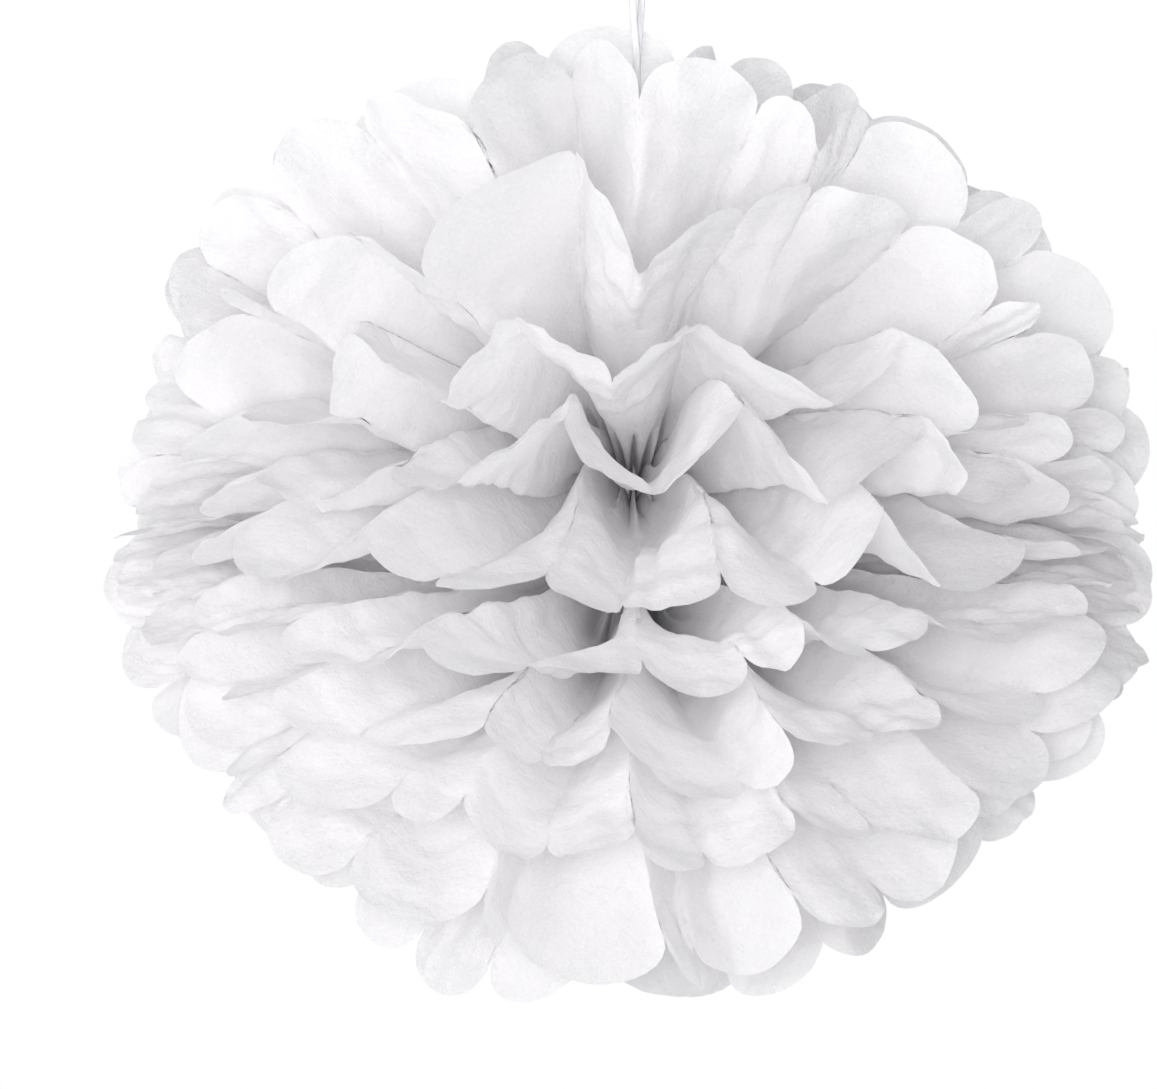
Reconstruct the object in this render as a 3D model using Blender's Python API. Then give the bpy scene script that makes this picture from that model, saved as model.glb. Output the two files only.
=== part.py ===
"""Tissue paper pom pom: ten pleated tissue sheets tied in the middle and fanned out into a ball,
which hangs by a doubled ribbon. The front is at -Y, the pleats open along X, and the origin is the
top of the ribbon's hanging loop, where the ball hangs from."""

import math

import bmesh
import bpy
import numpy as np

mm = 0.001

# Tissue sheets, as they are cut and pleated
sheet_length = 260 * mm
pleat_width = 25.4 * mm
pleat_count = 16
scallop_depth = 12 * mm
paper = 0.2 * mm

# Angle of each sheet's petal tips from the front axis, front sheet first, in degrees
upper_angles = (3, 16, 32, 52, 77, 99, 118, 137, 157, 176)
lower_angles = (1, 15, 29, 47, 69, 92, 114, 135, 156, 176)

# The tied neck
neck_width = 10 * mm
neck_paper = 0.45 * mm
ribbon_gap = 3 * mm
clearance = 0.3 * mm
wire_thick = 0.8 * mm
wire_bend = 0.8 * mm
twist_length = 7 * mm
twist_turns = 1

# How the fans open out from the neck
bend_height = 4 * mm
cone_share = 0.1
edge_angle = math.radians(2)
seam_gap = 2 * mm
seam_angle = math.radians(0.5)
least_slack = 0.35
least_share = 0.75
steepest = 3
squash = 0.975
flat_neck = 6 * mm
full_pleat = 38 * mm
largest_fold = math.radians(29)
end_calm = 0.35
front_calm = 0.4
edge_stand = 0.5
upper_fold = 1.55
lower_fold = 0.85
open_start = 45 * mm
open_end = 112 * mm

# Irregular hand opening of the petals
fold_drift = 0.45
fold_change = 0.7
tip_lean = math.radians(7.5)
tip_droop = math.radians(2.5)
droop_start = 60 * mm
sheet_wave = math.radians(2.2)
short_tips = 0.07
ruffle_size = 5 * mm
ruffle_length = 90 * mm

# Straight channel beside the ribbon
channel_half = 9 * mm
channel_start = 62 * mm
channel_end = 105 * mm

# Ribbon, doubled, with its knot round the wire
ribbon_width = 1.8 * mm
strand_space = 2.2 * mm
ribbon_x = 1.5 * mm
ribbon_step = 2.55
loop_width = 8.6 * mm
hang_drop = 160 * mm
# The pair of strands on its way up: height over the tie and distance beside ribbon_x in mm, turn in degrees
ribbon_pair = (
    (7, 3.1, 0),
    (13, 1.5, 10),
    (22, 0, 25),
    (45, 0, 50),
    (75, 0, 75),
    (100, 0, 88),
    (113, 0, 95),
    (121, 0, 130),
    (128, 0, 165),
    (136, 0, 180),
)
knot_length = 2.4 * mm
knot_wall = 1.2 * mm

stations = (0, 0.055, 0.2, 0.58)
scallop_steps = 4
half_length = sheet_length / 2
notch = half_length - scallop_depth
folds = np.arange(pleat_count + 1)
fan_span = math.pi - 2 * edge_angle
sheet_pitch = neck_paper + clearance
stack_half = ribbon_gap / 2 + len(upper_angles) / 2 * sheet_pitch - clearance
tie_x = neck_width / 2 + clearance + wire_thick / 2
tie_y = stack_half + clearance + wire_thick / 2


def clear_scene():
    for thing in list(bpy.data.objects):
        bpy.data.objects.remove(thing, do_unlink=True)


def material(name, colour, roughness, metallic=0.0):
    made = bpy.data.materials.new(name)
    made.use_nodes = True
    shader = made.node_tree.nodes["Principled BSDF"]
    shader.inputs["Base Color"].default_value = (*colour, 1)
    shader.inputs["Roughness"].default_value = roughness
    shader.inputs["Metallic"].default_value = metallic
    made.diffuse_color = (*colour, 1)
    return made


def scatter(sheet, half, salt):
    """A repeatable value from -1 to 1 for each fold of a half sheet."""
    mixed = np.sin(12.9898 * folds + 33.3 * sheet + 37.719 * half + 9.151 * salt) * 43758.5453
    return 2 * (mixed - np.floor(mixed)) - 1


def ease(value, start, end):
    """Smooth step from 0 at start to 1 at end."""
    share = np.clip((value - start) / (end - start), 0, 1)
    return share * share * (3 - 2 * share)


def direction(turn, lift, half):
    """Where a fold line points: turn runs from +X over the top to -X, lift tips it to the front."""
    turn, lift = np.broadcast_arrays(turn, lift)
    book = np.stack([np.cos(turn), -np.sin(turn) * np.sin(lift), np.sin(turn) * np.cos(lift)], -1)
    cone = np.stack([np.cos(turn) * np.cos(lift), -np.sin(lift), np.sin(turn) * np.cos(lift)], -1)
    mixed = book + (cone - book) * cone_share
    mixed /= np.linalg.norm(mixed, axis=-1, keepdims=True)
    return mixed * np.array([1, 1, half * squash])


def neck_place(sheet):
    """How far behind the ball's middle a sheet passes through the tie."""
    middle = (len(upper_angles) - 1) / 2
    side = math.copysign(1, sheet - middle)
    return (sheet - middle) * sheet_pitch + side * (ribbon_gap - clearance) / 2


def base_lift(sheet, half):
    """How far a sheet's fan tips to the front, from the angle of its petal tips."""
    return math.radians(90 - (upper_angles if half > 0 else lower_angles)[sheet])


def spread_shares(turn, lift, half):
    """How far a fan's point moves for each turn and for each lift, as shares of its reach."""
    step = 1e-4
    turned = direction(turn + step, lift, half) - direction(turn - step, lift, half)
    lifted = direction(turn, lift + step, half) - direction(turn, lift - step, half)
    shares = (np.linalg.norm(moved, axis=-1) / (2 * step) for moved in (turned, lifted))
    return tuple(shares)


def fold_line(sheet, half, fold, along):
    """Where a fold line lies round its fan, in pleats, and how far it stands out of the fan.
    The nearer its neighbours are, the higher it stands, because the pleats keep their width."""
    room = elbow_room(sheet, half)
    opening = ease(along, open_start, open_end)
    inner = np.sin(np.pi * folds / pleat_count) ** 0.5
    drift = fold_drift * room * scatter(sheet, half, 2) * inner
    change = 1 + fold_change * room * scatter(sheet, half, 3)
    aside = max(0, math.cos(base_lift(sheet, half)))
    lean = tip_lean * room * aside**0.5 * scatter(sheet, half, 4)

    def drifted(number):
        number = np.clip(number, 0, pleat_count)
        return number + opening * drift[number]

    reach = along - bend_rise(along)
    turn = edge_angle + fan_span * drifted(fold) / pleat_count
    round_share, lift_share = spread_shares(turn, base_lift(sheet, half), half)
    pitch = reach * fan_span / pleat_count * round_share
    before = pitch * np.where(fold > 0, drifted(fold) - drifted(fold - 1), 1)
    after = pitch * np.where(fold < pleat_count, drifted(fold + 1) - drifted(fold), 1)
    least = (least_slack * pleat_width) ** 2
    slack = np.sqrt(np.maximum(pleat_width**2 - before**2, least))
    slack = (slack + np.sqrt(np.maximum(pleat_width**2 - after**2, least))) / 4
    usual = upper_fold if half > 0 else lower_fold
    usual *= 1 - front_calm * math.sin(base_lift(sheet, half)) ** 2
    looseness = 1 + opening * (usual * change[fold] - 1)
    stand = slack * looseness * ease(along, flat_neck, full_pleat) / np.maximum(lift_share, least_share)
    stand = stand * np.where(fold % pleat_count == 0, edge_stand, 1)
    return drifted(fold), stand, (1 - 2 * (fold % 2)), lean[fold]


def elbow_room(sheet, half):
    """The angle to the nearer neighbouring sheet, as a share of the usual angle."""
    angles = upper_angles if half > 0 else lower_angles
    others = [other for other in (sheet - 1, sheet + 1) if 0 <= other < len(angles)]
    nearest = min(abs(angles[other] - angles[sheet]) for other in others)
    return min(1, nearest * len(angles) / 180)


def bend_rise(along):
    """How much of a length along the paper goes into leaving the tie before it bends outward."""
    return bend_height * (1 - np.exp(-along / bend_height))


def ruffle(points):
    """A smooth, gentle unevenness of the whole ball, growing with the distance from the tie."""
    size = np.linalg.norm(points, axis=-1, keepdims=True) / half_length
    x, y, z = (points[..., axis] / ruffle_length * 2 * math.pi for axis in range(3))
    push = np.stack(
        [
            np.sin(1.1 * y + 0.7 * z + 0.4) + np.sin(0.8 * z - 0.6 * x + 2.1),
            np.sin(0.9 * z + 0.8 * x + 1.3) + np.sin(0.7 * x - 0.5 * y + 4.0),
            np.sin(1.0 * x + 0.6 * y + 2.6) + np.sin(0.9 * y - 0.5 * z + 0.9),
        ],
        -1,
    )
    return points + ruffle_size / 2 * push * size**2


def fan_points(sheet, half, pleat, along):
    """The two faces of the paper, at pleats from the +X edge and lengths from the tie."""
    base = base_lift(sheet, half)
    opening = ease(along, open_start, open_end)
    shorter = np.interp(pleat, folds, scatter(sheet, half, 1))
    along = along * (1 - short_tips * opening * (1 + shorter) / 2)
    rise = bend_rise(along)
    reach = along - rise

    # Between two fold lines the paper is flat
    low = np.clip(np.floor(pleat), 0, pleat_count - 1).astype(int)
    share = pleat - low
    ends = [fold_line(sheet, half, low, along), fold_line(sheet, half, low + 1, along)]
    place = ends[0][0] * (1 - share) + ends[1][0] * share
    stand = ends[0][1] * (1 - share) + ends[1][1] * share
    signed = ends[0][1] * ends[0][2] * (1 - share) + ends[1][1] * ends[1][2] * share
    lean = (ends[0][3] * (1 - share) + ends[1][3] * share) * ease(along, open_end / 2, half_length)
    turn = edge_angle + fan_span * place / pleat_count
    if half > 0:
        across = neck_width * (0.5 - pleat / pleat_count) + reach * np.cos(turn)
        beside = np.exp(-(((across - ribbon_x) / channel_half) ** 2))
        beside = 1 - beside * (1 - ease(along, channel_start, channel_end))
        stand = stand * beside
        signed = signed * beside
    largest = largest_fold * (1 - end_calm * (math.sin(base) * np.cos(turn)) ** 2)
    fold = largest * np.tanh(stand / (largest * np.maximum(reach, 1e-6)))
    zigzag = fold * signed / np.maximum(stand, 1e-9)
    squeeze = 1 - (fold + seam_angle) * 2 / math.pi
    wave = sheet_wave * np.sin(2.1 * place / pleat_count * math.pi + 2.4 * sheet + half)
    wave = wave * opening * elbow_room(sheet, half) * math.cos(base)
    lift = base * squeeze + zigzag + wave + lean
    lift += half * tip_droop * ease(along, droop_start, half_length) * np.sin(lift)

    edge = neck_width * (0.5 - pleat / pleat_count)
    height = half * (rise - (bend_height - seam_gap / 2) * opening)
    start = np.stack([edge, np.full_like(edge, neck_place(sheet)), height], -1)
    middle = start + direction(turn, lift, half) * reach[..., None]

    # The faces lie half the paper to the front and back, measured square to the pleat's side
    step = 1e-4
    normal = (direction(turn, lift + step, half) - direction(turn, lift - step, half)) / (2 * step)
    tall = fold * reach * np.linalg.norm(normal, axis=-1)
    normal = normal * reach[..., None] + np.array([0, -1 * mm, 0])
    normal /= np.linalg.norm(normal, axis=-1, keepdims=True)
    width = reach * fan_span / pleat_count * 0.9 + neck_width / pleat_count
    steep = np.minimum(np.sqrt(1 + (2 * tall / width) ** 2), steepest)
    thick = neck_paper + (paper - neck_paper) * ease(along, 0, flat_neck)
    offset = normal * (thick / 2 * steep)[..., None]
    return ruffle(middle + offset), ruffle(middle - offset)


def petal_outline():
    """The rounded tip of one pleat: shares of its width and of the scallop's depth."""
    turns = [math.pi * step / scallop_steps for step in range(1, scallop_steps)]
    return [((1 - math.cos(turn)) / 2, math.sin(turn)) for turn in turns]


def tissue_sheet(sheet, paper_material):
    """One sheet: its upper and lower fans and the neck between them, in one closed solid."""
    shape = bmesh.new()
    rows = [share * notch for share in stations] + [notch]
    columns = folds.astype(float)
    outline = petal_outline()
    fronts = {}
    backs = {}

    def add(key, front, back):
        fronts[key] = shape.verts.new(front)
        backs[key] = shape.verts.new(back)

    def both_faces(keys):
        for second, third in zip(keys[1:], keys[2:]):
            shape.faces.new([fronts[key] for key in (keys[0], second, third)])
            shape.faces.new([backs[key] for key in (third, second, keys[0])])

    def rim(first, second):
        shape.faces.new([fronts[first], backs[first], backs[second], fronts[second]])

    for half in (1, -1):
        for row, along in enumerate(rows):
            if row == 0 and half < 0:
                continue
            front, back = fan_points(sheet, half, columns, np.full_like(columns, along))
            for column in folds:
                key = (0 if row == 0 else half, row, int(column))
                add(key, front[column], back[column])
        for pleat in range(pleat_count):
            share = np.array([pleat + point[0] for point in outline])
            along = np.array([notch + scallop_depth * point[1] for point in outline])
            front, back = fan_points(sheet, half, share, along)
            for point in range(len(outline)):
                add((half, "tip", pleat, point), front[point], back[point])

        def at(row, column):
            return (0 if row == 0 else half, row, column)

        last = len(rows) - 1
        for pleat in range(pleat_count):
            crest = pleat + pleat % 2
            valley = pleat + 1 - pleat % 2
            for row in range(last):
                both_faces([at(row, crest), at(row, valley), at(row + 1, valley), at(row + 1, crest)])
            edge = [at(last, pleat)]
            edge += [(half, "tip", pleat, point) for point in range(len(outline))]
            edge += [at(last, pleat + 1)]
            for low in range(len(edge) // 2):
                high = len(edge) - 1 - low
                if high - low >= 3:
                    both_faces([edge[low], edge[high], edge[high - 1], edge[low + 1]])
                elif high - low == 2:
                    both_faces([edge[low], edge[high], edge[low + 1]])
            for first, second in zip(edge, edge[1:]):
                rim(first, second)
        for row in range(last):
            rim(at(row, 0), at(row + 1, 0))
            rim(at(row, pleat_count), at(row + 1, pleat_count))

    bmesh.ops.recalc_face_normals(shape, faces=shape.faces)
    mesh = bpy.data.meshes.new(f"tissue_{sheet + 1:02d}")
    shape.to_mesh(mesh)
    shape.free()
    mesh.materials.append(paper_material)
    return hang(bpy.data.objects.new(mesh.name, mesh))


def hang(thing):
    """Link an object under the empty at the tie."""
    bpy.context.scene.collection.objects.link(thing)
    thing.parent = bpy.data.objects["tie_centre"]
    return thing


def tube(name, points, width, sides_step, finish):
    """A round wire or cord through points, with closed ends."""
    line = bpy.data.curves.new(name, "CURVE")
    line.dimensions = "3D"
    line.bevel_depth = width / 2
    line.bevel_resolution = sides_step
    line.use_fill_caps = True
    line.resolution_u = 1
    line.render_resolution_u = 0
    path = line.splines.new("POLY")
    path.points.add(len(points) - 1)
    for spot, point in zip(path.points, points):
        spot.co = (*point, 1)
    line.materials.append(finish)
    return hang(bpy.data.objects.new(name, line))


def smooth_curve(route, spacing):
    """Evenly spaced points on a smooth curve through a route's points."""
    route = np.array(route)
    ends = np.concatenate([[2 * route[0] - route[1]], route, [2 * route[-1] - route[-2]]])
    fine = []
    for before, start, end, after in zip(ends, ends[1:], ends[2:], ends[3:]):
        for share in np.linspace(0, 1, 40, endpoint=False):
            linear = (end - before) * share
            square = (2 * before - 5 * start + 4 * end - after) * share**2
            cube = (3 * start - before - 3 * end + after) * share**3
            fine.append(start + (linear + square + cube) / 2)
    fine = np.array(fine + [route[-1]])
    lengths = np.concatenate([[0], np.cumsum(np.linalg.norm(np.diff(fine, axis=0), axis=1))])
    count = max(2, round(lengths[-1] / spacing)) + 1
    even = np.linspace(0, lengths[-1], count)
    return np.stack([np.interp(even, lengths, fine[:, axis]) for axis in range(3)], -1)


def tie_wire(finish):
    """Wire pinched once round the neck, its two ends twisted together at -X."""
    twist_radius = (wire_thick + clearance) / 2
    tail = []
    for step in range(9):
        share = step / 8
        turn = 2 * math.pi * twist_turns * share + math.pi / 2
        out = tie_x + wire_bend + wire_thick + twist_length * share
        tail.append((-out, twist_radius * math.sin(turn), twist_radius * math.cos(turn)))
    loop = [(-tie_x, twist_radius + wire_bend, 0)]
    corners = [(-1, 1), (1, 1), (1, -1), (-1, -1)]
    for number, (x_side, y_side) in enumerate(corners):
        for step in range(4):
            turn = math.pi - math.pi / 2 * (number + step / 3)
            across = x_side * (tie_x - wire_bend) + wire_bend * math.cos(turn)
            along = y_side * (tie_y - wire_bend) + wire_bend * math.sin(turn)
            loop.append((across, along, 0))
    loop.append((-tie_x, -twist_radius - wire_bend, 0))
    far_tail = [(x, -y, -z) for x, y, z in tail]
    return tube("tie_wire", list(reversed(tail)) + loop + far_tail, wire_thick, 1, finish)


def ribbon_knot(finish):
    """The ribbon's knot, a plump collar round the wire at the +X side of the neck."""
    hole = wire_thick / 2 + clearance
    outer = hole + knot_wall
    half = knot_length / 2
    profile = [(hole, half * 0.7), (hole + knot_wall * 0.5, half), (outer, half * 0.5)]
    profile += [(radius, -side) for radius, side in reversed(profile)]
    shape = bmesh.new()
    turns = 12
    rings = []
    for step in range(turns):
        turn = 2 * math.pi * (step + 0.5) / turns
        ring = [(tie_x + r * math.cos(turn), side, r * math.sin(turn)) for r, side in profile]
        rings.append([shape.verts.new(point) for point in ring])
    for ring, following in zip(rings, rings[1:] + rings[:1]):
        for corner in range(len(profile)):
            after = (corner + 1) % len(profile)
            shape.faces.new([ring[corner], ring[after], following[after], following[corner]])
    bmesh.ops.recalc_face_normals(shape, faces=shape.faces)
    mesh = bpy.data.meshes.new("ribbon_knot")
    shape.to_mesh(mesh)
    shape.free()
    mesh.materials.append(finish)
    return hang(bpy.data.objects.new("ribbon_knot", mesh))


def ribbon_route():
    """One strand up from the knot, the hanging loop, and the other strand back down.
    The pair turns half round each other on the way, edge on to the front where they pass the petals."""
    knot_top = wire_thick / 2 + clearance + knot_wall + clearance
    loop_centre = hang_drop - ribbon_width / 2 - loop_width / 2
    pair = [(knot_top, tie_x, 0)]
    pair += [(height * mm, ribbon_x + across * mm, turn) for height, across, turn in ribbon_pair]
    up = []
    down = []
    for height, across, turn in pair:
        side = strand_space / 2 * math.cos(math.radians(turn))
        depth = strand_space / 2 * math.sin(math.radians(turn))
        up.append((across + side, -depth, height))
        down.append((across - side, depth, height))
    loop = []
    for turn in (200, 160, 125, 90, 55, 20, -20):
        angle = math.radians(turn)
        across = ribbon_x + loop_width / 2 * math.cos(angle)
        loop.append((across, 0, loop_centre + loop_width / 2 * math.sin(angle)))
    return up + loop + list(reversed(down))


def pom_pom():
    clear_scene()
    tie = bpy.data.objects.new("tie_centre", None)
    tie.location = (0, 0, -hang_drop)
    bpy.context.scene.collection.objects.link(tie)
    tissue = material("tissue", (0.86, 0.855, 0.87), 0.85)
    wire = material("wire", (0.55, 0.55, 0.56), 0.4, 1.0)
    ribbon = material("ribbon", (0.87, 0.87, 0.88), 0.5)
    for sheet in range(len(upper_angles)):
        tissue_sheet(sheet, tissue)
    tie_wire(wire)
    ribbon_knot(ribbon)
    tube("ribbon", smooth_curve(ribbon_route(), ribbon_step * ribbon_width), ribbon_width, 2, ribbon)
    bpy.context.view_layer.update()


pom_pom()
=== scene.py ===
"""Looks of the tissue paper pom pom: ten fanned tissue sheets, their tie and the hanging ribbon."""

import math

import bmesh
import bpy
import numpy as np
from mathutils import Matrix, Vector


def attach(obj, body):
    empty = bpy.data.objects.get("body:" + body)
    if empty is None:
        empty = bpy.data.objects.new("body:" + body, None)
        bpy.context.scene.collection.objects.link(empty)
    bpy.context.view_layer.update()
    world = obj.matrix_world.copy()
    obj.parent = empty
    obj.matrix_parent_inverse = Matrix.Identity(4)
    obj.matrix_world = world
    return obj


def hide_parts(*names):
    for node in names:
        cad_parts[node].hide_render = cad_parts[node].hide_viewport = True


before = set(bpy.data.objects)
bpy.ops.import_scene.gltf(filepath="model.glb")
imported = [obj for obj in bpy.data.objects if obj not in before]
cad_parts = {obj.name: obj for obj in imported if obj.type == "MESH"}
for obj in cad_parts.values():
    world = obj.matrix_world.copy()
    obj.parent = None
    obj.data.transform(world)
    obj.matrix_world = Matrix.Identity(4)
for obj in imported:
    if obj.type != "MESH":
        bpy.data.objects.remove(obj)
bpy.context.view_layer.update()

mm = 0.001

# Sheets, neck and ribbon, as the model has them
sheet_length = 260 * mm
pleat_width = 25.4 * mm
pleat_count = 16
scallop_depth = 12 * mm
upper_angles = (3, 16, 32, 52, 77, 99, 118, 137, 157, 176)
lower_angles = (1, 15, 29, 47, 69, 92, 114, 135, 156, 176)
neck_width = 10 * mm
neck_paper = 0.45 * mm
ribbon_gap = 3 * mm
clearance = 0.3 * mm
wire_thick = 0.8 * mm
bend_height = 4 * mm
cone_share = 0.1
edge_angle = math.radians(2)
seam_gap = 2 * mm
seam_angle = math.radians(0.5)
least_slack = 0.35
least_share = 0.75
squash = 0.975
flat_neck = 6 * mm
full_pleat = 38 * mm
largest_fold = math.radians(29)
end_calm = 0.35
front_calm = 0.4
edge_stand = 0.5
upper_fold = 1.55
lower_fold = 0.85
open_start = 45 * mm
open_end = 112 * mm
fold_drift = 0.45
fold_change = 0.7
tip_lean = math.radians(7.5)
tip_droop = math.radians(2.5)
droop_start = 60 * mm
sheet_wave = math.radians(2.2)
short_tips = 0.07
ruffle_size = 5 * mm
ruffle_length = 90 * mm
channel_half = 9 * mm
channel_start = 62 * mm
channel_end = 105 * mm
ribbon_width = 1.8 * mm
strand_space = 2.2 * mm
ribbon_x = 1.5 * mm
loop_width = 8.6 * mm
hang_drop = 160 * mm
# The pair of strands on its way up: height over the tie in mm, distance beside ribbon_x in mm, and turn in
# degrees
ribbon_pair = (
    (7, 3.1, 0),
    (13, 1.5, 10),
    (22, 0, 25),
    (45, 0, 50),
    (75, 0, 75),
    (100, 0, 88),
    (113, 0, 95),
    (121, 0, 130),
    (128, 0, 165),
    (136, 0, 180),
)
knot_wall = 1.2 * mm

# Finish of the ribbon and of its turns round the wire
ribbon_thick = 0.35 * mm
ribbon_spacing = 1.2 * mm
ribbon_sway = math.radians(25)
ribbon_sways = 9
knot_turns = 3
knot_steps = 72
knot_length = 0.9 * mm
knot_ribbon_width = 1.2 * mm
knot_ribbon_thick = 0.3 * mm

half_length = sheet_length / 2
notch = half_length - scallop_depth
folds = np.arange(pleat_count + 1)
fan_span = math.pi - 2 * edge_angle
sheet_pitch = neck_paper + clearance
tie_x = neck_width / 2 + clearance + wire_thick / 2
tie_centre = Vector((0, 0, -hang_drop))

# Fine surface of the paper
columns_per_pleat = 16
rows_per_fan = 80
crease_round = 0.05
petal_cup = 2.4 * mm
tip_curl = 3 * mm
curl_start = 0.75
curl_share = 0.25
crumple_size = 1.5 * mm
wide_crumples = 14 * mm
wide_strength = 2.4
fine_crumples = 6.5 * mm
fine_strength = 0.9
crumple_middle = 1.6
crumple_patches = 35 * mm
usual_crumple = 0.85
patch_change = 0.6
crease_size = 1.2 * mm
crease_width = 7 * mm
crease_stretch = 9

# Gathers where the paper is drawn in to the tie, hidden inside the ball
gather_fold = math.radians(14)
gather_waves = 2
gather_end = 55 * mm

# The photograph's frame
image_width = 1157
image_height = 1089
ball_px = (630, 519)
px_per_metre = 4071
camera_distance = 1.4
camera_height_angle = math.radians(11)

# Studio: a floor below the tie, paler to the camera, an ambient light with its stronger side and range, and
# each lamp's name, place from the tie and size in metres, watts and colour
floor_drop = 0.9
floor_radius = 1.6
floor_lift = 0.52
ambient_from = (-0.8, 0, -0.6)
ambient_least = 0.28
ambient_most = 0.68
lamps = (
    ("key", (-1.3, -0.9, 0.2), 0.5, 7, (1, 1, 1)),
    ("fill", (-0.1, -1.5, 0.28), 0.35, 13, (1, 0.99, 1)),
)


# Camera

def add_camera():
    """Camera at the photograph's angle, a little above the seam between the fans."""
    data = bpy.data.cameras.new("camera")
    camera = bpy.data.objects.new("camera", data)
    bpy.context.scene.collection.objects.link(camera)
    back = Vector((0, -math.cos(camera_height_angle), math.sin(camera_height_angle)))
    right = Vector((1, 0, 0))
    up = back.cross(right)
    aside = (image_width / 2 - ball_px[0]) / px_per_metre
    above = (ball_px[1] - image_height / 2) / px_per_metre
    camera.location = tie_centre + back * camera_distance + right * aside + up * above
    camera.rotation_euler = back.to_track_quat("Z", "Y").to_euler()
    data.sensor_width = 36
    data.lens = 36 * camera_distance / (image_width / px_per_metre)
    data.clip_start = 0.05
    bpy.context.scene.camera = camera


# Ribbon

def smooth_curve(route, spacing):
    """Evenly spaced points on a smooth curve through a route's points."""
    route = np.array(route)
    ends = np.concatenate([[2 * route[0] - route[1]], route, [2 * route[-1] - route[-2]]])
    fine = []
    for before, start, end, after in zip(ends, ends[1:], ends[2:], ends[3:]):
        for share in np.linspace(0, 1, 40, endpoint=False):
            linear = (end - before) * share
            square = (2 * before - 5 * start + 4 * end - after) * share**2
            cube = (3 * start - before - 3 * end + after) * share**3
            fine.append(start + (linear + square + cube) / 2)
    fine = np.array(fine + [route[-1]])
    lengths = np.concatenate([[0], np.cumsum(np.linalg.norm(np.diff(fine, axis=0), axis=1))])
    count = max(2, round(lengths[-1] / spacing)) + 1
    even = np.linspace(0, lengths[-1], count)
    return np.stack([np.interp(even, lengths, fine[:, axis]) for axis in range(3)], -1)


def ribbon_route():
    """One strand up from the knot, the hanging loop, and the other strand back down."""
    knot_top = wire_thick / 2 + clearance + knot_wall + clearance
    loop_centre = hang_drop - ribbon_width / 2 - loop_width / 2
    pair = [(knot_top, tie_x, 0)]
    pair += [(height * mm, ribbon_x + across * mm, turn) for height, across, turn in ribbon_pair]
    up = []
    down = []
    for height, across, turn in pair:
        side = strand_space / 2 * math.cos(math.radians(turn))
        depth = strand_space / 2 * math.sin(math.radians(turn))
        up.append((across + side, -depth, height))
        down.append((across - side, depth, height))
    loop = []
    for turn in (200, 160, 125, 90, 55, 20, -20):
        angle = math.radians(turn)
        across = ribbon_x + loop_width / 2 * math.cos(angle)
        loop.append((across, 0, loop_centre + loop_width / 2 * math.sin(angle)))
    return up + loop + list(reversed(down))


def flat_ribbon(name, path, facing, width, thick):
    """A flat ribbon along a path, its face turned to facing, one direction for each point."""
    shape = bmesh.new()
    profile = [(-0.5, 0.25), (-0.25, 0.5), (0.25, 0.5), (0.5, 0.25)]
    profile += [(-side, -face) for side, face in profile]
    rings = []
    tangents = np.gradient(path, axis=0)
    for point, tangent, face in zip(path, tangents, facing):
        tangent = Vector(tangent).normalized()
        face = Vector(face)
        face = (face - tangent * face.dot(tangent)).normalized()
        side = tangent.cross(face)
        ring = [Vector(point) + side * s * width + face * f * thick for s, f in profile]
        rings.append([shape.verts.new(corner) for corner in ring])
    for ring, following in zip(rings, rings[1:]):
        for corner in range(len(profile)):
            after = (corner + 1) % len(profile)
            shape.faces.new([ring[corner], ring[after], following[after], following[corner]])
    shape.faces.new(list(reversed(rings[0])))
    shape.faces.new(rings[-1])
    bmesh.ops.recalc_face_normals(shape, faces=shape.faces)
    return finished(name, shape)


def finished(name, shape):
    """An object from a bmesh, shaded smooth."""
    mesh = bpy.data.meshes.new(name)
    shape.to_mesh(mesh)
    shape.free()
    mesh.shade_smooth()
    made = bpy.data.objects.new(name, mesh)
    bpy.context.scene.collection.objects.link(made)
    return made


def add_ribbon(finish):
    """The doubled ribbon from its knot over the hanging loop and back."""
    path = smooth_curve(ribbon_route(), ribbon_spacing) + np.array(tie_centre)
    share = np.linspace(0, 1, len(path))
    turn = ribbon_sway * np.sin(share * ribbon_sways * math.pi)
    facing = np.stack([np.sin(turn), -np.cos(turn), np.zeros_like(turn)], -1)
    ribbon = flat_ribbon("hanging_ribbon", path, facing, ribbon_width, ribbon_thick)
    ribbon.data.materials.append(finish)
    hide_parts("ribbon")
    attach(ribbon, "root")
    knot = add_knot(finish)


def add_knot(finish):
    """Three turns of the ribbon round the wire, as plump as its knot."""
    path = []
    facing = []
    for step in range(knot_steps + 1):
        share = step / knot_steps
        turn = 2 * math.pi * knot_turns * share
        radius = wire_thick / 2 + clearance + knot_wall * (0.45 + 0.4 * math.sin(math.pi * share))
        out = np.array([math.cos(turn), 0, math.sin(turn)])
        path.append(np.array([tie_x, (share - 0.5) * knot_length, -hang_drop]) + out * radius)
        facing.append(out)
    knot = flat_ribbon("ribbon_turns", np.array(path), facing, knot_ribbon_width, knot_ribbon_thick)
    knot.data.materials.append(finish)
    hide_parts("ribbon_knot")
    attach(knot, "root")
    return knot


# Tissue sheets

def scatter(sheet, half, salt):
    """A repeatable value from -1 to 1 for each fold of a half sheet."""
    mixed = np.sin(12.9898 * folds + 33.3 * sheet + 37.719 * half + 9.151 * salt) * 43758.5453
    return 2 * (mixed - np.floor(mixed)) - 1


def ease(value, start, end):
    """Smooth step from 0 at start to 1 at end."""
    share = np.clip((value - start) / (end - start), 0, 1)
    return share * share * (3 - 2 * share)


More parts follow.
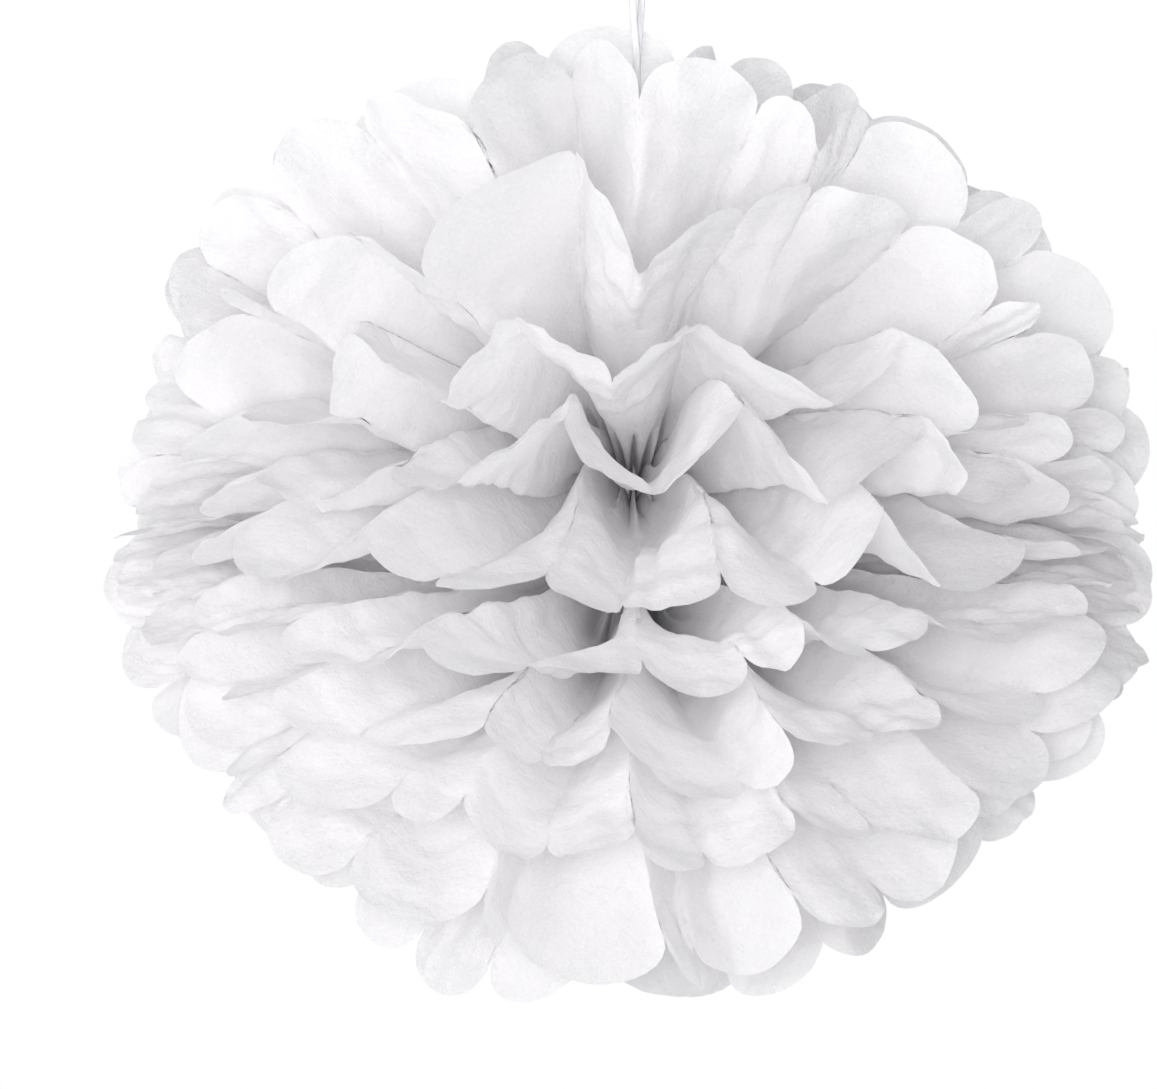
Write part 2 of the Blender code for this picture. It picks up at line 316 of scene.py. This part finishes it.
def direction(turn, lift, half):
    """Where a fold line points: turn runs from +X over the top to -X, lift tips it to the front."""
    turn, lift = np.broadcast_arrays(turn, lift)
    book = np.stack([np.cos(turn), -np.sin(turn) * np.sin(lift), np.sin(turn) * np.cos(lift)], -1)
    cone = np.stack([np.cos(turn) * np.cos(lift), -np.sin(lift), np.sin(turn) * np.cos(lift)], -1)
    mixed = book + (cone - book) * cone_share
    mixed /= np.linalg.norm(mixed, axis=-1, keepdims=True)
    return mixed * np.array([1, 1, half * squash])


def neck_place(sheet):
    """How far behind the ball's middle a sheet passes through the tie."""
    middle = (len(upper_angles) - 1) / 2
    side = math.copysign(1, sheet - middle)
    return (sheet - middle) * sheet_pitch + side * (ribbon_gap - clearance) / 2


def elbow_room(sheet, half):
    """The angle to the nearer neighbouring sheet, as a share of the usual angle."""
    angles = upper_angles if half > 0 else lower_angles
    others = [other for other in (sheet - 1, sheet + 1) if 0 <= other < len(angles)]
    nearest = min(abs(angles[other] - angles[sheet]) for other in others)
    return min(1, nearest * len(angles) / 180)


def bend_rise(along):
    """How much of a length along the paper goes into leaving the tie before it bends outward."""
    return bend_height * (1 - np.exp(-along / bend_height))


def base_lift(sheet, half):
    """How far a sheet's fan tips to the front, from the angle of its petal tips."""
    return math.radians(90 - (upper_angles if half > 0 else lower_angles)[sheet])


def spread_shares(turn, lift, half):
    """How far a fan's point moves for each turn and for each lift, as shares of its reach."""
    step = 1e-4
    turned = direction(turn + step, lift, half) - direction(turn - step, lift, half)
    lifted = direction(turn, lift + step, half) - direction(turn, lift - step, half)
    shares = (np.linalg.norm(moved, axis=-1) / (2 * step) for moved in (turned, lifted))
    return tuple(shares)


def fold_line(sheet, half, fold, along):
    """Where a fold line lies round its fan, in pleats, and how far it stands out of the fan."""
    room = elbow_room(sheet, half)
    opening = ease(along, open_start, open_end)
    inner = np.sin(np.pi * folds / pleat_count) ** 0.5
    drift = fold_drift * room * scatter(sheet, half, 2) * inner
    change = 1 + fold_change * room * scatter(sheet, half, 3)
    aside = max(0, math.cos(base_lift(sheet, half)))
    lean = tip_lean * room * aside**0.5 * scatter(sheet, half, 4)

    def drifted(number):
        number = np.clip(number, 0, pleat_count)
        return number + opening * drift[number]

    reach = along - bend_rise(along)
    turn = edge_angle + fan_span * drifted(fold) / pleat_count
    round_share, lift_share = spread_shares(turn, base_lift(sheet, half), half)
    pitch = reach * fan_span / pleat_count * round_share
    before = pitch * np.where(fold > 0, drifted(fold) - drifted(fold - 1), 1)
    after = pitch * np.where(fold < pleat_count, drifted(fold + 1) - drifted(fold), 1)
    least = (least_slack * pleat_width) ** 2
    slack = np.sqrt(np.maximum(pleat_width**2 - before**2, least))
    slack = (slack + np.sqrt(np.maximum(pleat_width**2 - after**2, least))) / 4
    usual = upper_fold if half > 0 else lower_fold
    usual *= 1 - front_calm * math.sin(base_lift(sheet, half)) ** 2
    looseness = 1 + opening * (usual * change[fold] - 1)
    stand = slack * looseness * ease(along, flat_neck, full_pleat) / np.maximum(lift_share, least_share)
    stand = stand * np.where(fold % pleat_count == 0, edge_stand, 1)
    return drifted(fold), stand, (1 - 2 * (fold % 2)), lean[fold]


def ruffle(points):
    """A smooth, gentle unevenness of the whole ball, growing with the distance from the tie."""
    size = np.linalg.norm(points, axis=-1, keepdims=True) / half_length
    x, y, z = (points[..., axis] / ruffle_length * 2 * math.pi for axis in range(3))
    push = np.stack(
        [
            np.sin(1.1 * y + 0.7 * z + 0.4) + np.sin(0.8 * z - 0.6 * x + 2.1),
            np.sin(0.9 * z + 0.8 * x + 1.3) + np.sin(0.7 * x - 0.5 * y + 4.0),
            np.sin(1.0 * x + 0.6 * y + 2.6) + np.sin(0.9 * y - 0.5 * z + 0.9),
        ],
        -1,
    )
    return points + ruffle_size / 2 * push * size**2


def fan_surface(sheet, half, pleat, along):
    """Middle of the paper at pleats from the +X edge and lengths from the tie."""
    base = base_lift(sheet, half)
    opening = ease(along, open_start, open_end)
    shorter = np.interp(pleat, folds, scatter(sheet, half, 1))
    along = along * (1 - short_tips * opening * (1 + shorter) / 2)
    rise = bend_rise(along)
    reach = along - rise

    # The crease at each fold line is slightly round
    low = np.clip(np.floor(pleat), 0, pleat_count - 1).astype(int)
    share = pleat - low
    near = np.minimum(share, 1 - share)
    bent = np.where(near < crease_round, crease_round / 2 + near**2 / (2 * crease_round), near)
    bent = np.where(share < 0.5, bent, 1 - bent)
    ends = [fold_line(sheet, half, low, along), fold_line(sheet, half, low + 1, along)]
    place = ends[0][0] * (1 - share) + ends[1][0] * share
    stand = ends[0][1] * (1 - share) + ends[1][1] * share
    signed = ends[0][1] * ends[0][2] * (1 - bent) + ends[1][1] * ends[1][2] * bent
    lean = (ends[0][3] * (1 - share) + ends[1][3] * share) * ease(along, open_end / 2, half_length)
    turn = edge_angle + fan_span * place / pleat_count
    if half > 0:
        across = neck_width * (0.5 - pleat / pleat_count) + reach * np.cos(turn)
        beside = np.exp(-(((across - ribbon_x) / channel_half) ** 2))
        beside = 1 - beside * (1 - ease(along, channel_start, channel_end))
        stand = stand * beside
        signed = signed * beside
    largest = largest_fold * (1 - end_calm * (math.sin(base) * np.cos(turn)) ** 2)
    fold = largest * np.tanh(stand / (largest * np.maximum(reach, 1e-6)))
    zigzag = fold * signed / np.maximum(stand, 1e-9)
    gathers = gather_fold * (1 - ease(along, gather_end / 3, gather_end))
    zigzag += gathers * np.arcsin(np.sin(2 * math.pi * gather_waves * pleat)) * 2 / math.pi
    squeeze = 1 - (fold + gathers + seam_angle) * 2 / math.pi
    wave = sheet_wave * np.sin(2.1 * place / pleat_count * math.pi + 2.4 * sheet + half)
    wave = wave * opening * elbow_room(sheet, half) * math.cos(base)
    lift = base * squeeze + zigzag + wave + lean
    lift += half * tip_droop * ease(along, droop_start, half_length) * np.sin(lift)

    edge = neck_width * (0.5 - pleat / pleat_count)
    height = half * (rise - (bend_height - seam_gap / 2) * opening)
    start = np.stack([edge, np.full_like(edge, neck_place(sheet)), height], -1)
    return ruffle(start + direction(turn, lift, half) * reach[..., None])


def lattice_noise(points, size, seed):
    """Smooth noise from -1 to 1 over cells of a size."""
    spot = points / size + seed * 17.13
    cell = np.floor(spot)
    share = spot - cell
    share = share * share * (3 - 2 * share)
    total = np.zeros(points.shape[:-1])
    for corner in range(8):
        step = np.array([corner & 1, corner >> 1 & 1, corner >> 2 & 1])
        mixed = np.sin((cell + step) @ np.array([127.1, 311.7, 74.7]) + seed * 3.7) * 43758.5453
        value = 2 * (mixed - np.floor(mixed)) - 1
        weight = np.prod(np.where(step == 1, share, 1 - share), axis=-1)
        total += value * weight
    return total


def cell_distance(points, size, seed):
    """Rounded distance to the nearest of some scattered points, one in each cell of a size."""
    spot = points / size + seed * 7.31
    cell = np.floor(spot)
    mixes = np.array([[127.1, 269.5, 113.5], [311.7, 183.3, 271.9], [74.7, 246.1, 124.6]])
    nearest = np.full(points.shape[:-1], 9.0)
    for corner in range(27):
        home = cell + np.array([corner % 3, corner // 3 % 3, corner // 9]) - 1
        scattered = np.sin(home @ mixes) * 43758.5453
        place = home + scattered - np.floor(scattered)
        nearest = np.minimum(nearest, ((place - spot) ** 2).sum(-1))
    return np.sqrt(nearest + 0.02)


def surface_normals(grid):
    """Unit normals of a grid of points."""
    down = np.gradient(grid, axis=0)
    across = np.gradient(grid, axis=1)
    normal = np.cross(down, across)
    return normal / np.maximum(np.linalg.norm(normal, axis=-1, keepdims=True), 1e-12)


def half_fan(sheet, half):
    """Grid of points of one fan, from the neck out to its scalloped edge."""
    turns = np.linspace(0, math.pi, columns_per_pleat + 1)[:-1]
    shares = (1 - np.cos(turns)) / 2 * 0.75 + turns / math.pi * 0.25
    pleat = np.append((folds[:-1, None] + shares[None, :]).ravel(), pleat_count)
    part = pleat - np.floor(pleat)
    round_tip = np.sqrt(np.maximum(1 - (2 * part - 1) ** 2, 0))
    edge = notch + scallop_depth * round_tip
    rows = np.linspace(0, 1, rows_per_fan + 1) ** 0.85
    along = rows[:, None] * edge[None, :]
    pleats = np.broadcast_to(pleat, along.shape)
    grid = fan_surface(sheet, half, pleats, along)

    # Each petal is cupped and its tip curled one way or the other
    normal = surface_normals(grid)
    room = elbow_room(sheet, half)
    number = np.minimum(np.floor(pleats).astype(int), pleat_count - 1)
    cup = scatter(sheet, half, 5)[number] * petal_cup * np.sin(np.pi * (pleats - number))
    cup = cup * ease(along, open_start, half_length) * room
    outward = np.clip(along / notch - curl_start, 0, 1) / (1 - curl_start)
    curl = scatter(sheet, half, 6)[number] * tip_curl * outward**2
    curl = curl * np.sin(np.pi * (pleats - number)) ** 0.5 * room

    # The paper is crumpled, more in some places than in others, and creased along its length
    calm = usual_crumple + patch_change * lattice_noise(grid, crumple_patches, sheet + 2.2 * half)
    rough = wide_strength * cell_distance(grid, wide_crumples, sheet + 3.3 * half)
    rough += fine_strength * cell_distance(grid, fine_crumples, sheet + 5.1 * half) - crumple_middle
    rough = rough * crumple_size * calm * ease(along, full_pleat / 2, open_end)
    own_place = np.full_like(along, sheet * 50 * mm)
    flat = np.stack([pleats * pleat_width, along / crease_stretch, own_place], -1)
    creases = 1 - 2 * np.abs(lattice_noise(flat, crease_width, half + 6.5))
    creases = creases * crease_size * calm * ease(along, full_pleat / 2, full_pleat * 1.5)
    return grid + normal * (cup + curl * curl_share + rough + creases)[..., None]


def tissue_sheet(number, finish):
    """One sheet of tissue from its lower to its upper scalloped edge."""
    upper = half_fan(number, 1)
    lower = half_fan(number, -1)
    grid = np.concatenate([lower[:0:-1], upper])
    height, width = grid.shape[:2]
    points = grid.reshape(-1, 3) + np.array(tie_centre)
    index = np.arange(height * width).reshape(height, width)
    corners = [index[:-1, :-1], index[:-1, 1:], index[1:, 1:], index[1:, :-1]]
    faces = np.stack(corners, -1).reshape(-1, 4)
    mesh = bpy.data.meshes.new(f"tissue_sheet_{number + 1:02d}")
    mesh.from_pydata(points.tolist(), [], faces.tolist())
    mesh.shade_smooth()
    mesh.materials.append(finish)
    piece = bpy.data.objects.new(mesh.name, mesh)
    bpy.context.scene.collection.objects.link(piece)
    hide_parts(f"tissue_{number + 1:02d}")
    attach(piece, "root")


# Materials

def new_material(name):
    """An empty node material with its nodes and links."""
    made = bpy.data.materials.new(name)
    made.use_nodes = True
    nodes = made.node_tree.nodes
    nodes.clear()
    return made, nodes, made.node_tree.links


def add_noise(nodes, links, coordinates, scale, detail, roughness=0.5):
    """Value of a noise texture over coordinates."""
    noise = nodes.new("ShaderNodeTexNoise")
    noise.inputs["Scale"].default_value = scale
    noise.inputs["Detail"].default_value = detail
    noise.inputs["Roughness"].default_value = roughness
    links.new(coordinates, noise.inputs["Vector"])
    return noise.outputs["Fac"]


def add_range(nodes, links, value, low, high, start=0.3, end=0.7):
    """A value spread from the range start..end to the range low..high."""
    spread = nodes.new("ShaderNodeMapRange")
    spread.inputs["From Min"].default_value = start
    spread.inputs["From Max"].default_value = end
    spread.inputs["To Min"].default_value = low
    spread.inputs["To Max"].default_value = high
    links.new(value, spread.inputs["Value"])
    return spread.outputs["Result"]


def tissue_material():
    """White tissue: soft, matte, crinkled, and lighter or denser where its fibres lie."""
    made, nodes, links = new_material("white_tissue")
    place = nodes.new("ShaderNodeTexCoord").outputs["Object"]
    clouds = add_noise(nodes, links, place, 1000, 2, 0.7)
    fibres = add_noise(nodes, links, place, 320, 3, 0.7)

    mix = nodes.new("ShaderNodeMix")
    mix.data_type = "RGBA"
    mix.inputs["A"].default_value = (0.92, 0.915, 0.925, 1)
    mix.inputs["B"].default_value = (0.975, 0.97, 0.975, 1)
    links.new(add_range(nodes, links, clouds, 0, 1), mix.inputs["Factor"])

    bump = nodes.new("ShaderNodeBump")
    bump.inputs["Strength"].default_value = 0.8
    bump.inputs["Distance"].default_value = 0.0009
    links.new(fibres, bump.inputs["Height"])

    paper = nodes.new("ShaderNodeBsdfPrincipled")
    paper.inputs["Roughness"].default_value = 0.85
    paper.inputs["Specular IOR Level"].default_value = 0
    links.new(mix.outputs["Result"], paper.inputs["Base Color"])
    links.new(bump.outputs["Normal"], paper.inputs["Normal"])
    through = nodes.new("ShaderNodeBsdfTranslucent")
    links.new(mix.outputs["Result"], through.inputs["Color"])
    links.new(bump.outputs["Normal"], through.inputs["Normal"])
    both = nodes.new("ShaderNodeMixShader")
    links.new(add_range(nodes, links, clouds, 0.4, 0.6), both.inputs["Fac"])
    links.new(paper.outputs["BSDF"], both.inputs[1])
    links.new(through.outputs["BSDF"], both.inputs[2])
    output = nodes.new("ShaderNodeOutputMaterial")
    links.new(both.outputs["Shader"], output.inputs["Surface"])
    return made


def ribbon_material():
    """White woven ribbon with a faint sheen and fine lengthwise threads, its colour darkened to a bluish
    grey as painted shade.
    """
    made, nodes, links = new_material("white_ribbon_with_painted_shade")
    place = nodes.new("ShaderNodeTexCoord").outputs["Object"]
    stretch = nodes.new("ShaderNodeMapping")
    stretch.inputs["Scale"].default_value = (1, 1, 0.05)
    links.new(place, stretch.inputs["Vector"])
    threads = add_noise(nodes, links, stretch.outputs["Vector"], 6000, 2, 0.6)
    # Painted shade: the ribbon's white is darkened to a bluish grey, 0.66 to 0.86, standing in for the
    # shade it shows against the white background; the noise between the two greys follows its threads
    colour = nodes.new("ShaderNodeMix")
    colour.data_type = "RGBA"
    colour.inputs["A"].default_value = (0.66, 0.66, 0.69, 1)
    colour.inputs["B"].default_value = (0.86, 0.86, 0.88, 1)
    links.new(add_range(nodes, links, threads, 0, 1), colour.inputs["Factor"])
    bump = nodes.new("ShaderNodeBump")
    bump.inputs["Strength"].default_value = 0.5
    bump.inputs["Distance"].default_value = 0.0001
    links.new(threads, bump.inputs["Height"])
    cloth = nodes.new("ShaderNodeBsdfPrincipled")
    cloth.inputs["Roughness"].default_value = 0.45
    cloth.inputs["Sheen Weight"].default_value = 0.3
    links.new(colour.outputs["Result"], cloth.inputs["Base Color"])
    links.new(bump.outputs["Normal"], cloth.inputs["Normal"])
    output = nodes.new("ShaderNodeOutputMaterial")
    links.new(cloth.outputs["BSDF"], output.inputs["Surface"])
    return made


def wire_material():
    """Dull galvanised wire, drawn along its length."""
    made, nodes, links = new_material("tie_wire_metal")
    place = nodes.new("ShaderNodeTexCoord").outputs["Object"]
    streaks = add_noise(nodes, links, place, 900, 3, 0.6)
    colour = nodes.new("ShaderNodeMix")
    colour.data_type = "RGBA"
    colour.inputs["A"].default_value = (0.42, 0.42, 0.43, 1)
    colour.inputs["B"].default_value = (0.62, 0.62, 0.63, 1)
    links.new(add_range(nodes, links, streaks, 0, 1), colour.inputs["Factor"])
    metal = nodes.new("ShaderNodeBsdfPrincipled")
    metal.inputs["Metallic"].default_value = 1
    links.new(colour.outputs["Result"], metal.inputs["Base Color"])
    links.new(add_range(nodes, links, streaks, 0.3, 0.5), metal.inputs["Roughness"])
    output = nodes.new("ShaderNodeOutputMaterial")
    links.new(metal.outputs["BSDF"], output.inputs["Surface"])
    return made


# Studio

def add_floor():
    """Pale round floor well below the hanging ball, paler to the camera alone."""
    shape = bmesh.new()
    bmesh.ops.create_circle(shape, cap_ends=True, segments=96, radius=floor_radius)
    floor = finished("floor", shape)
    floor.location = tie_centre + Vector((0, 0, -floor_drop))
    made, nodes, links = new_material("floor_white")
    paint = nodes.new("ShaderNodeBsdfPrincipled")
    paint.inputs["Base Color"].default_value = (0.85, 0.85, 0.85, 1)
    paint.inputs["Roughness"].default_value = 0.9
    paint.inputs["Emission Color"].default_value = (1, 1, 1, 1)
    path = nodes.new("ShaderNodeLightPath")
    lift = nodes.new("ShaderNodeMath")
    lift.operation = "MULTIPLY"
    lift.inputs[1].default_value = floor_lift
    links.new(path.outputs["Is Camera Ray"], lift.inputs[0])
    links.new(lift.outputs["Value"], paint.inputs["Emission Strength"])
    made.cycles.emission_sampling = "NONE"
    output = nodes.new("ShaderNodeOutputMaterial")
    links.new(paint.outputs["BSDF"], output.inputs["Surface"])
    floor.data.materials.append(made)


def add_lamp(name, place, size, power, colour):
    """A square soft light aimed at the middle of the ball."""
    data = bpy.data.lights.new(name, "AREA")
    data.size = size
    data.energy = power
    data.color = colour
    lamp = bpy.data.objects.new(name, data)
    bpy.context.scene.collection.objects.link(lamp)
    lamp.location = tie_centre + Vector(place)
    lamp.rotation_euler = Vector(place).to_track_quat("Z", "Y").to_euler()


def add_world():
    """White to the camera, in reflections and through glass; else plain light, most from lower left."""
    world = bpy.data.worlds.new("studio")
    world.use_nodes = True
    nodes = world.node_tree.nodes
    links = world.node_tree.links
    nodes.clear()
    path = nodes.new("ShaderNodeLightPath")
    seen = nodes.new("ShaderNodeMath")
    seen.operation = "MAXIMUM"
    links.new(path.outputs["Is Camera Ray"], seen.inputs[0])
    links.new(path.outputs["Is Glossy Ray"], seen.inputs[1])
    any_seen = nodes.new("ShaderNodeMath")
    any_seen.operation = "MAXIMUM"
    links.new(seen.outputs["Value"], any_seen.inputs[0])
    links.new(path.outputs["Is Transmission Ray"], any_seen.inputs[1])
    ambient = nodes.new("ShaderNodeBackground")
    ambient.inputs["Color"].default_value = (0.99, 0.98, 1, 1)
    place = nodes.new("ShaderNodeTexCoord").outputs["Generated"]
    side = nodes.new("ShaderNodeVectorMath")
    side.operation = "DOT_PRODUCT"
    side.inputs[1].default_value = ambient_from
    links.new(place, side.inputs[0])
    strength = add_range(nodes, links, side.outputs["Value"], ambient_least, ambient_most, -1, 1)
    links.new(strength, ambient.inputs["Strength"])
    white = nodes.new("ShaderNodeBackground")
    white.inputs["Color"].default_value = (1, 1, 1, 1)
    mix = nodes.new("ShaderNodeMixShader")
    links.new(any_seen.outputs["Value"], mix.inputs["Fac"])
    links.new(ambient.outputs["Background"], mix.inputs[1])
    links.new(white.outputs["Background"], mix.inputs[2])
    output = nodes.new("ShaderNodeOutputWorld")
    links.new(mix.outputs["Shader"], output.inputs["Surface"])
    bpy.context.scene.world = world


add_camera()
add_ribbon(ribbon_material())
tissue = tissue_material()
for number in range(len(upper_angles)):
    tissue_sheet(number, tissue)
bpy.data.objects["tie_wire"].data.materials.clear()
bpy.data.objects["tie_wire"].data.materials.append(wire_material())
add_floor()
for lamp in lamps:
    add_lamp(*lamp)
add_world()
bpy.context.scene.view_settings.view_transform = "Standard"
